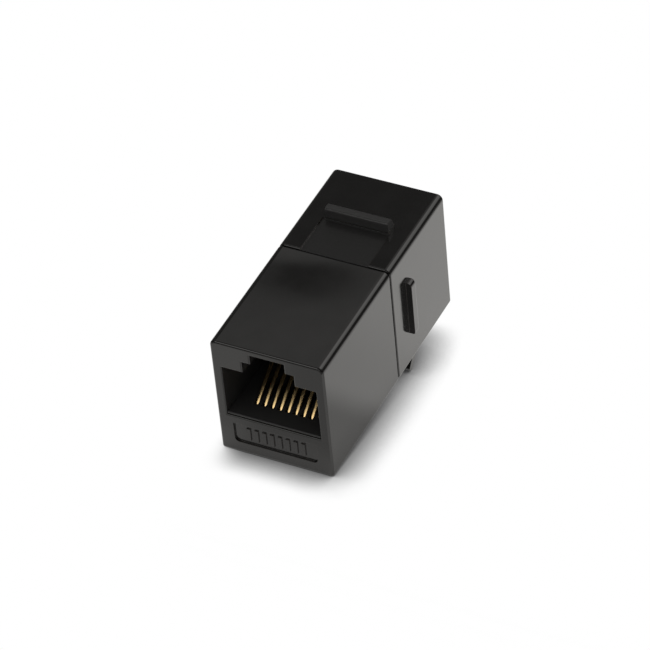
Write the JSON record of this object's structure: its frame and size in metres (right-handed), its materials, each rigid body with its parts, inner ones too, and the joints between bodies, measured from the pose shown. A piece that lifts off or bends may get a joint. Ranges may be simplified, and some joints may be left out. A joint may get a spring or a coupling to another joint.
{
  "type": "inline jack coupler",
  "caption": "Inline coupler with an eight-way modular jack at each end, in a two-part black housing with a catch, stop lugs and spring latch for a module opening.",
  "frame": {"origin": "middle of the near port's mouth, in the plane of the near face, on the line that a plug travels along", "axes": "+Y from the near face to the panel face, +Z toward the side with the fixed catch, +X across, to the right as seen from the near face"},
  "size_m": [0.016, 0.0333, 0.0214],
  "materials": {
    "housing": "black moulded plastic, satin sheen",
    "housing_rear": "black moulded plastic, smooth satin sheen",
    "carrier": "black moulded plastic, smooth",
    "board": "green solder mask over glass laminate",
    "contact": "gold-flashed spring wire, polished"
  },
  "bodies": {
    "root": {"front_shell": "housing", "rear_shell": "housing_rear", "front_carrier": "carrier", "rear_carrier": "carrier", "circuit_board": "board", "contact_front_1": "contact", "contact_front_2": "contact", "contact_front_3": "contact", "contact_front_4": "contact", "contact_front_5": "contact", "contact_front_6": "contact", "contact_front_7": "contact", "contact_front_8": "contact", "contact_rear_1": "contact", "contact_rear_2": "contact", "contact_rear_3": "contact", "contact_rear_4": "contact", "contact_rear_5": "contact", "contact_rear_6": "contact", "contact_rear_7": "contact", "contact_rear_8": "contact"}
  },
  "joints": []
}
